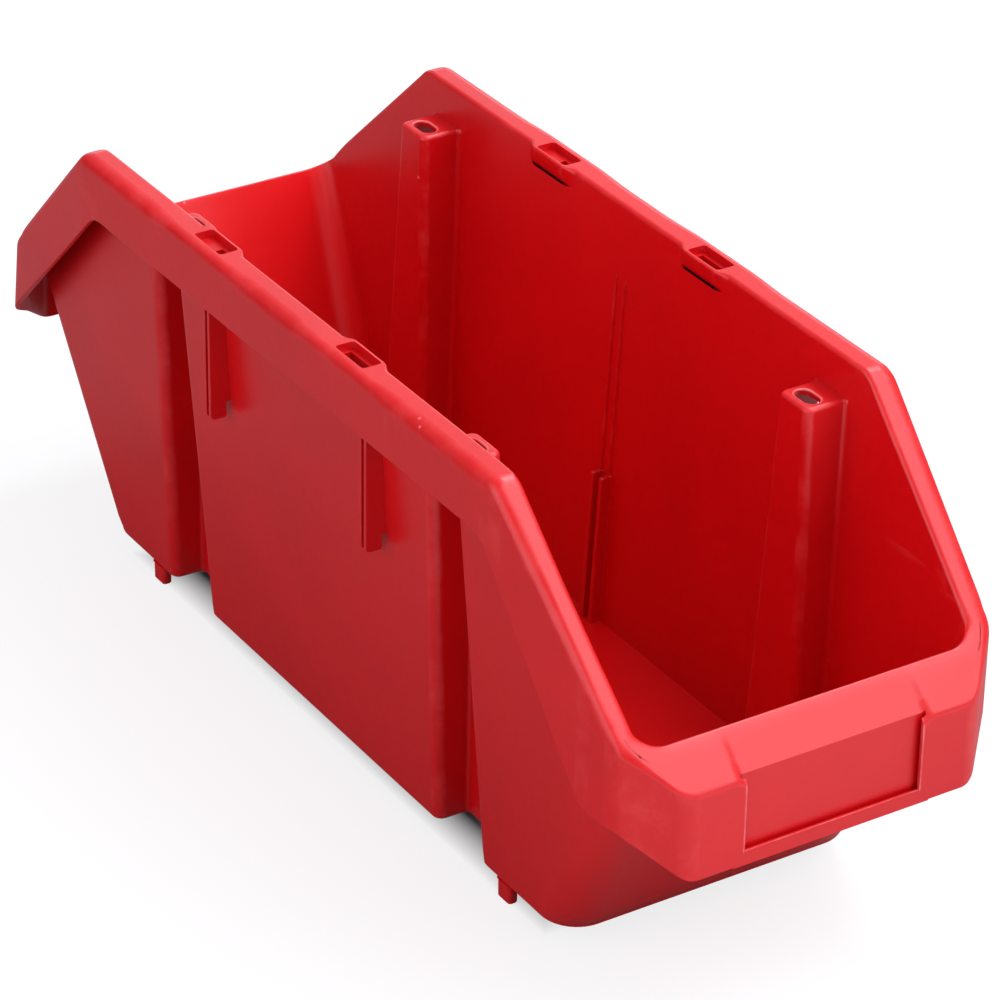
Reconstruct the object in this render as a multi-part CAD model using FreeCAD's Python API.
import FreeCAD, Part
import math, os

# Double-ended hopper bin that hangs, stacks and nests: one polypropylene moulding, written
# out as its functional features. Each feature is a closed solid that butts against its
# neighbours without overlapping them.
# Frame: +Z up, Y along the length (front, the picking end, at -Y), X across (left at -X),
# origin at the centre of the footprint on the plane of the peg tips. Millimetres.

V = FreeCAD.Vector
FRONT, REAR = -1, 1
LEFT, RIGHT = -1, 1
ENDS = ((FRONT, "front"), (REAR, "rear"))
SIDES = ((LEFT, "left"), (RIGHT, "right"))

# ---- overall ----
LENGTH = 470.0            # over the two end lips
WIDTH = 165.0             # over the two side skirts
PEG_H = 8.0               # stacking pegs below the floor
BODY_H = 177.0            # floor underside to rim top
FLOOR_Z = PEG_H           # floor underside
RIM_Z = PEG_H + BODY_H    # level part of the rim top
LIP_Y = LENGTH / 2

# ---- tub ----
WALL = 2.4                # side wall, measured across
END_WALL = 2.7            # end wall, measured along Y
FLOOR_T = 2.8
FLOOR_TOP = FLOOR_Z + FLOOR_T
BOTTOM_HW = 63.65         # outer half width at the floor underside
BOTTOM_HL = 168.8         # outer half length at the floor underside
SIDE_DRAFT = 0.0545       # outward lean of the side walls per mm of height
END_LEAN = 0.503          # outward lean of the hopper walls per mm of height
CORNER_R_BOTTOM = 15.0    # body corner radius at the floor
CORNER_R_UPPER = 12.0     # and CORNER_R_RISE above it
CORNER_R_RISE = 110.0
TUB_TOP = RIM_Z + 20.0    # the tub shapes are lofted past the rim, then trimmed

# ---- rim: a band on top and a skirt hanging from its edge ----
SKIRT_T = 2.3
BAND_T = 2.4
TOP_HL = 147.2            # half length of the level part
SLOPE = 0.94              # fall of the hopper sides per mm of length
RIM_BEND_R = 11.0         # where the level part turns down
RIM_SIDE_R = 60.0         # plan radius where the sides start to converge
TAPER_HW, TAPER_Y, TAPER_R = 77.6, 216.2, 12.0    # where the rim turns to the lip
LIP_HW, LIP_R = 58.6, 10.0                        # flat face of the lip
TAPER_SHIFT, LIP_SHIFT = 0.43, 0.41     # movement of those corners per mm of inset
LIP_SPLIT = 206.0         # |y| of the side rim / lip division
RIM_SOFTEN_R = 2.0        # outer top edge

# Lower edge of the skirts from the level part outwards: |y|, z, corner radius.
# The picking end carries the deeper skirt.
SKIRT_Z = RIM_Z - 23.4
FRONT_STEP_Z = FLOOR_Z + 77.0
LIP_Z = {FRONT: FLOOR_Z + 60.2, REAR: FLOOR_Z + 61.7}
EDGE_FRONT = (
    (141.0, SKIRT_Z, 8.0),
    (199.0, FRONT_STEP_Z, 7.0),
    (217.2, FRONT_STEP_Z, 3.0),
    (LIP_Y, LIP_Z[FRONT], 0.0),
)
EDGE_REAR = (
    (137.5, SKIRT_Z, 8.0),
    (LIP_Y, LIP_Z[REAR], 0.0),
)

# ---- posts: hollow columns, open below and outside, capped on top ----
POST_Y = {LEFT: 99.5, RIGHT: 128.7}
POST_TOP = FLOOR_Z + 162.0
POST_X_BOTTOM, POST_X_TOP = 48.8, 53.2        # |x| of the face that looks into the bin
HOLLOW_HW_BOTTOM, HOLLOW_HW_TOP = 14.4, 7.0   # half widths of the hollow along Y
POST_OPEN_X = 90.0        # sections run out past the side wall
POST_T = 2.0
POST_R = 3.2
CAP_T = 2.2
SOCKET_X, SOCKET_L, SOCKET_W = 59.6, 12.6, 7.4    # oval peg socket in each cap
SOCKET_R = SOCKET_W / 2 - 0.01                # just short of a full half circle

# ---- stacking pegs ----
PEG_X, PEG_L, PEG_W = 61.0, 8.4, 4.2
PEG_R, PEG_TIP_R = 1.5, 0.8

# ---- slots in the level rim, each in a boss ----
SLOT_X0, SLOT_X1 = 69.9, 75.7
SLOT_DEPTH = 3.6
SLOT_HOLE_X = 72.9
BOSS_WALL, BOSS_H = 1.6, 7.5
# Pocket from y, to y; half width of the through hole, its inset from each pocket end.
SLOTS = (
    (45.0, 64.7, 2.0, 1.2, 13.1),
    (-56.6, -37.2, 1.9, 3.0, 3.0),
)

# ---- hanger rails: pairs of fins ----
RAIL_Y, RAIL_GAP, RAIL_T = 56.5, 1.6, 1.6
RAIL_X, RAIL_BOTTOM = 78.3, FLOOR_Z + 104.0
RAIL_ROOT_X = 60.0        # inside the tub, where the fin is trimmed off
RAIL_NOTCH_W, RAIL_NOTCH_H = 2.6, 6.5
RAIL_NOTCH_R, RAIL_R = 1.0, 2.0

# ---- divider guides: two ribs on each side wall ----
GUIDE_Y, GUIDE_PITCH = 3.0, 5.8
GUIDE_STEP_Z, GUIDE_TOP_Z = FLOOR_Z + 66.2, FLOOR_Z + 148.5
GUIDE_ROOT_X = 80.0       # outside the cavity, where the rib is trimmed off
# From z, to z, thickness, projection from the wall.
GUIDE_TIERS = (
    (FLOOR_TOP, GUIDE_STEP_Z, 2.0, 4.5),
    (GUIDE_STEP_Z, GUIDE_TOP_Z, 1.2, 1.0),
)

# ---- label pockets in the lip faces ----
LABEL_HW, LABEL_BOTTOM = 36.1, FLOOR_Z + 65.7
LABEL_DEPTH, LABEL_BACK = 2.6, 2.4
LABEL_RAIL = 4.4          # frame beside the recess
CARD_T, CARD_IN = 1.2, 2.0              # card groove: thickness, depth into the frame
DISH_HW, DISH_DEPTH = 39.5, 1.3
DISH_RISE = 108.0         # height above the floor underside that sets its inner end
DISH_OVERRUN = 6.0        # past the back of the pocket
DISH_CLEAR = 12.0         # cutter height above the rim

# ---- reach of the trimming shapes, beyond the whole bin ----
TRIM_X, TRIM_Y = 200.0, 300.0
TRIM_Z0, TRIM_Z1 = -5.0, RIM_Z + 40.0
PROFILE_X = 120.0
PROFILE_Y = LIP_Y + 40.0


# ---- helpers ----
def rounded(points, place):
    """Closed wire through (x, y, radius) points; place puts a 2-D point in space."""
    count = len(points)
    corners = [V(x, y, 0) for x, y, _ in points]
    legs = []             # per corner: arc start, arc middle, arc end
    for i in range(count):
        corner, radius = corners[i], points[i][2]
        if radius <= 0:
            legs.append((corner, None, corner))
            continue
        back = (corners[i - 1] - corner).normalize()
        ahead = (corners[(i + 1) % count] - corner).normalize()
        half = math.acos(max(-1, min(1, back.dot(ahead)))) / 2
        reach = radius / math.tan(half)
        depth = radius / math.sin(half) - radius
        middle = corner + (back + ahead).normalize() * depth
        legs.append((corner + back * reach, middle, corner + ahead * reach))

    def put(point):
        return place(point.x, point.y)

    edges = []
    for i, (start, middle, end) in enumerate(legs):
        if middle is not None:
            edges.append(Part.Arc(put(start), put(middle), put(end)).toShape())
        following = legs[(i + 1) % count][0]
        if (end - following).Length > 1e-6:
            edges.append(Part.makeLine(put(end), put(following)))
    return Part.Wire(edges)


def plan_prism(points, z0, z1):
    wire = rounded(points, lambda x, y: V(x, y, z0))
    return Part.Face(wire).extrude(V(0, 0, z1 - z0))


def side_prism(points):
    """Prism across the whole bin from (y, z, radius) points."""
    wire = rounded(points, lambda y, z: V(-PROFILE_X, y, z))
    return Part.Face(wire).extrude(V(2 * PROFILE_X, 0, 0))


def polygon_prism(corners, sweep):
    return Part.Face(Part.makePolygon(corners + corners[:1])).extrude(sweep)


def rectangle_prism(x, y, width, length, radius, z0, z1):
    """Upright prism centred on x, y with rounded corners."""
    x0, x1 = x - width / 2, x + width / 2
    y0, y1 = y - length / 2, y + length / 2
    return plan_prism([(x0, y0, radius), (x1, y0, radius),
                       (x1, y1, radius), (x0, y1, radius)], z0, z1)


def box(xa, xb, ya, yb, z0, z1):
    """Box between two x, two y (each pair in either order) and two z."""
    x0, x1 = sorted((xa, xb))
    y0, y1 = sorted((ya, yb))
    return Part.makeBox(x1 - x0, y1 - y0, z1 - z0, V(x0, y0, z0))


def loft(sections):
    """Straight-sided solid through (points, z) sections."""
    wires = [rounded(points, lambda x, y, z=z: V(x, y, z)) for points, z in sections]
    return Part.makeLoft(wires, True, True)


def cut_all(shape, tools):
    for tool in tools:
        shape = shape.cut(tool)
    return shape


def side_half(shape, side):
    return shape.common(box(0, side * TRIM_X, -TRIM_Y, TRIM_Y, TRIM_Z0, TRIM_Z1))


def between_y(shape, y0, y1):
    return shape.common(box(-TRIM_X, TRIM_X, y0, y1, TRIM_Z0, TRIM_Z1))


def wall_x(z):
    """Outer face of the side walls at height z."""
    return BOTTOM_HW + SIDE_DRAFT * (z - FLOOR_Z)


def rim_height(y):
    """Rim surface at y, ignoring the bend radius."""
    return RIM_Z - SLOPE * max(0.0, abs(y) - TOP_HL)


# ---- shapes that the features are cut from ----
def tub(side_inset, end_inset, radius_inset, z0):
    """Tapered box from z0 to above the rim."""
    def section(z):
        rise = z - FLOOR_Z
        r = CORNER_R_BOTTOM + (CORNER_R_UPPER - CORNER_R_BOTTOM) * rise / CORNER_R_RISE
        r -= radius_inset
        hw = wall_x(z) - side_inset
        hl = BOTTOM_HL + END_LEAN * rise - end_inset
        return [(hw, -hl, r), (hw, hl, r), (-hw, hl, r), (-hw, -hl, r)], z
    return loft((section(z0), section(TUB_TOP)))


def below_rim(depth):
    """Everything below the rim surface, lowered by depth measured square to it."""
    square = math.sqrt(1 + SLOPE * SLOPE)
    hl = TOP_HL - depth * (square - 1) / SLOPE
    top = RIM_Z - depth
    end_z = top - SLOPE * (PROFILE_Y - hl)
    radius = RIM_BEND_R - depth
    return side_prism([
        (-PROFILE_Y, -50, 0), (PROFILE_Y, -50, 0), (PROFILE_Y, end_z, 0),
        (hl, top, radius), (-hl, top, radius), (-PROFILE_Y, end_z, 0),
    ])


def above_skirt_edge():
    """Everything above the lower edge of the skirts."""
    top = RIM_Z + 60
    points = [(-PROFILE_Y, LIP_Z[FRONT], 0)]
    points += [(-y, z, r) for y, z, r in reversed(EDGE_FRONT)]
    points += EDGE_REAR
    points += [(PROFILE_Y, LIP_Z[REAR], 0), (PROFILE_Y, top, 0), (-PROFILE_Y, top, 0)]
    return side_prism(points)


def rim_plan(inset):
    """Prism on the plan outline of the rim, moved inwards by inset."""
    quarter = [
        (WIDTH / 2 - inset, TOP_HL, RIM_SIDE_R),
        (TAPER_HW - inset, TAPER_Y - inset * TAPER_SHIFT, TAPER_R - inset),
        (LIP_HW - inset * LIP_SHIFT, LIP_Y - inset, LIP_R - inset),
    ]
    points = list(quarter)
    points += [(-x, y, r) for x, y, r in reversed(quarter)]
    points += [(-x, -y, r) for x, y, r in quarter]
    points += [(x, -y, r) for x, y, r in reversed(quarter)]
    return plan_prism(points, 0.0, RIM_Z + 30)


def hopper_wedge(end):
    """Region of one hopper end, out from the tangent lines of its rounded corners."""
    y_bottom = BOTTOM_HL - CORNER_R_BOTTOM
    y_top = y_bottom + END_LEAN * (TUB_TOP - FLOOR_Z)
    y_out = 400
    return side_prism([(end * y_bottom, FLOOR_Z, 0), (end * y_out, FLOOR_Z, 0),
                       (end * y_out, TUB_TOP, 0), (end * y_top, TUB_TOP, 0)])


tub_out = tub(0.0, 0.0, 0.0, FLOOR_Z)
cavity = tub(WALL, END_WALL, WALL, FLOOR_TOP)
below_top = below_rim(0.0)
below_band = below_rim(BAND_T)
floor_slab = box(-TRIM_X, TRIM_X, -TRIM_Y, TRIM_Y, -1, FLOOR_TOP)


# ---- features ----
def is_outer_top_edge(edge):
    """Edge near the rim surface and the outer outline, clear of the cavity."""
    mid = edge.valueAt((edge.FirstParameter + edge.LastParameter) / 2)
    near_top = abs(mid.z - rim_height(mid.y)) < 2.0
    near_outline = abs(mid.x) > WIDTH / 2 - 4.5 or abs(mid.y) > TAPER_Y - 4.0
    if not (near_top and near_outline and edge.Length > 0.5):
        return False
    inward = V(mid.x * 0.985, mid.y * 0.985, mid.z)
    return not cavity.isInside(inward, 1e-3, True)


def make_rim():
    rim_out, rim_in = rim_plan(0.0), rim_plan(SKIRT_T)
    band = rim_out.common(below_top).cut(below_band).cut(cavity)
    skirt = rim_out.cut(rim_in).common(below_band).common(above_skirt_edge())
    rim = band.fuse(skirt).removeSplitter()
    edges = [edge for edge in rim.Edges if is_outer_top_edge(edge)]
    # The fillet may fail on this chain of edges; the rim then keeps its sharp edge.
    try:
        soft = rim.makeFillet(RIM_SOFTEN_R, edges)
        if soft.isValid() and len(soft.Solids) == 1:
            rim = soft
    except Exception:
        pass
    return rim


def post_column(side, y, thickness, z0, z1):
    """Tapered column, thickness outside the hollow, running out past the side wall."""
    def section(z):
        share = (z - FLOOR_Z) / (POST_TOP - FLOOR_Z)
        hw = HOLLOW_HW_BOTTOM + (HOLLOW_HW_TOP - HOLLOW_HW_BOTTOM) * share + thickness
        hw *= side        # keeps the winding the same on both sides
        x = side * (POST_X_BOTTOM + (POST_X_TOP - POST_X_BOTTOM) * share + POST_T - thickness)
        x_open = side * POST_OPEN_X
        radius = POST_R - POST_T + thickness
        return [(x, y + hw, radius), (x, y - hw, radius),
                (x_open, y - hw, 0), (x_open, y + hw, 0)], z
    return loft((section(z0), section(z1)))


def make_posts():
    """Posts by name, with the shells to clear from the walls and hollows from the floor."""
    posts, shells, hollows = {}, [], []
    under_cap = POST_TOP - CAP_T
    for side, side_name in SIDES:
        for end, end_name in ENDS:
            y = POST_Y[side] * end
            shell = post_column(side, y, POST_T, FLOOR_Z, POST_TOP)
            hollow = post_column(side, y, 0.0, FLOOR_Z - 1.0, under_cap)
            socket = rectangle_prism(side * SOCKET_X, y, SOCKET_W, SOCKET_L, SOCKET_R,
                                     under_cap - 1.0, POST_TOP + 1.0)
            post = shell.cut(hollow).cut(socket).common(tub_out)
            posts[f"{side_name}_{end_name}_post"] = post.cut(floor_slab)
            shells.append(shell)
            hollows.append(hollow)
    return posts, shells, hollows


def make_slots():
    """Slotted bosses by name, with the solid blocks they take out of the rim."""
    bosses, blocks = {}, []
    for side, side_name in SIDES:
        pair = []
        for y0, y1, hole_hw, inset0, inset1 in SLOTS:
            block = box(side * (SLOT_X0 - BOSS_WALL), side * (SLOT_X1 + BOSS_WALL),
                        y0 - BOSS_WALL, y1 + BOSS_WALL, RIM_Z - BOSS_H, RIM_Z)
            pocket = box(side * SLOT_X0, side * SLOT_X1, y0, y1, RIM_Z - SLOT_DEPTH, RIM_Z + 1)
            hole_x = side * SLOT_HOLE_X
            hole = box(hole_x - hole_hw, hole_x + hole_hw, y0 + inset0, y1 - inset1,
                       RIM_Z - 20, RIM_Z)
            blocks.append(block)
            pair.append(block.cut(pocket).cut(hole))
        bosses[f"{side_name}_rim_slots"] = Part.makeCompound(pair)
    return bosses, blocks


def hanger_rails(side, end, boss_blocks):
    """Pair of notched fins between the side wall and the skirt."""
    notch_x = wall_x(RAIL_BOTTOM) + RAIL_NOTCH_W
    notch_z = RAIL_BOTTOM + RAIL_NOTCH_H
    points = [
        (RAIL_ROOT_X, notch_z, 0), (notch_x, notch_z, 0),
        (notch_x, RAIL_BOTTOM, RAIL_NOTCH_R), (RAIL_X, RAIL_BOTTOM, RAIL_R),
        (RAIL_X, RIM_Z, 0), (RAIL_ROOT_X, RIM_Z, 0),
    ]
    fins = []
    for k in (-1, 1):
        y = end * RAIL_Y + k * (RAIL_GAP + RAIL_T) / 2 - RAIL_T / 2
        wire = rounded(points, lambda x, z: V(side * x, y, z))
        fin = Part.Face(wire).extrude(V(0, RAIL_T, 0))
        fin = cut_all(fin.cut(tub_out).common(below_band), boss_blocks)
        fins += fin.Solids
    return Part.makeCompound([fin for fin in fins if fin.Volume > 1])


def divider_guide(side):
    """Two stepped ribs on the inside of a side wall, deeper in the lower tier."""
    ribs = []
    for k in (-1, 1):
        y = GUIDE_Y + k * GUIDE_PITCH / 2
        tiers = []
        for z0, z1, thickness, projection in GUIDE_TIERS:
            outline = (
                (wall_x(z0) - WALL - projection, z0), (wall_x(z1) - WALL - projection, z1),
                (GUIDE_ROOT_X, z1), (GUIDE_ROOT_X, z0),
            )
            corners = [V(side * x, y - thickness / 2, z) for x, z in outline]
            tiers.append(polygon_prism(corners, V(0, thickness, 0)).common(cavity))
        ribs += tiers[0].fuse(tiers[1]).Solids
    return Part.makeCompound(ribs)


def stacking_pegs(side):
    """Pegs that sit in the opposite wall's sockets of a bin turned end for end."""
    pegs = []
    for end, _ in ENDS:
        peg = rectangle_prism(side * PEG_X, end * POST_Y[-side], PEG_W, PEG_L, PEG_R,
                              0.0, FLOOR_Z)
        tip_edges = [edge for edge in peg.Edges if edge.BoundBox.ZMax < 0.01]
        pegs.append(peg.makeFillet(PEG_TIP_R, tip_edges))
    return Part.makeCompound(pegs)


def label_pocket(end):
    """Pocket for a card, and the solid block it takes out of the rim."""
    frame_hw = LABEL_HW + LABEL_RAIL
    card_hw = LABEL_HW + CARD_IN
    recess_y = LIP_Y - LABEL_DEPTH
    block = box(-frame_hw, frame_hw, end * LIP_Y, end * (recess_y - LABEL_BACK),
                LIP_Z[end], RIM_Z)
    recess = box(-LABEL_HW, LABEL_HW, end * (LIP_Y + 1), end * recess_y, LABEL_BOTTOM, RIM_Z)
    card = box(-card_hw, card_hw, end * (recess_y + CARD_T), end * recess_y,
               LABEL_BOTTOM - CARD_IN, RIM_Z)
    return block.common(below_top).cut(recess).cut(card), block


def lip_dish(end):
    """Cutter that dishes the lip behind the pocket so that a card slides in from above."""
    y_in = BOTTOM_HL + END_LEAN * DISH_RISE - END_WALL
    y_back = LIP_Y - LABEL_DEPTH - LABEL_BACK
    y_out = y_back + DISH_OVERRUN
    outline = (
        (y_in, rim_height(y_in)),
        (y_out, rim_height(y_out) - DISH_DEPTH),
        (y_out, rim_height(y_back) + DISH_CLEAR),
        (y_in, rim_height(y_in) + DISH_CLEAR),
    )
    return polygon_prism([V(-DISH_HW, end * y, z) for y, z in outline], V(2 * DISH_HW, 0, 0))


# ---- build ----
rim = make_rim()
walls = tub_out.cut(cavity).common(below_band).cut(floor_slab)
floor = tub_out.common(box(-TRIM_X, TRIM_X, -TRIM_Y, TRIM_Y, FLOOR_Z, FLOOR_TOP))

posts, post_shells, post_hollows = make_posts()
bosses, boss_blocks = make_slots()
walls = cut_all(walls, post_shells + boss_blocks)
rim = cut_all(rim, boss_blocks)

pieces = {"floor_pan": cut_all(floor, post_hollows)}
pieces.update(posts)
pieces.update(bosses)

side_walls = walls
for end, end_name in ENDS:
    pocket, pocket_block = label_pocket(end)
    pieces[f"{end_name}_label_pocket"] = pocket
    rim = rim.cut(pocket_block).cut(lip_dish(end))
    # The hopper ends take the rounded corners; the side walls run between them.
    wedge = hopper_wedge(end)
    pieces[f"{end_name}_hopper_wall"] = walls.common(wedge)
    side_walls = side_walls.cut(wedge)

side_rims = between_y(rim, -LIP_SPLIT, LIP_SPLIT)
for end, end_name in ENDS:
    pieces[f"{end_name}_lip_flange"] = between_y(rim, end * LIP_SPLIT, end * TRIM_Y)

for side, side_name in SIDES:
    pieces[f"{side_name}_side_wall"] = side_half(side_walls, side)
    pieces[f"{side_name}_rim_flange"] = side_half(side_rims, side)
    pieces[f"{side_name}_divider_guide"] = divider_guide(side)
    pieces[f"{side_name}_stacking_pegs"] = stacking_pegs(side)
    for end, end_name in ENDS:
        rails = hanger_rails(side, end, boss_blocks)
        pieces[f"{side_name}_{end_name}_hanger_rails"] = rails

# ---- write one file per piece, without boolean slivers ----
os.makedirs("parts", exist_ok=True)
for name, shape in pieces.items():
    solids = [solid for solid in shape.Solids if solid.Volume > 0.5]
    piece = solids[0] if len(solids) == 1 else Part.makeCompound(solids)
    piece.exportStep("parts/" + name + ".step")
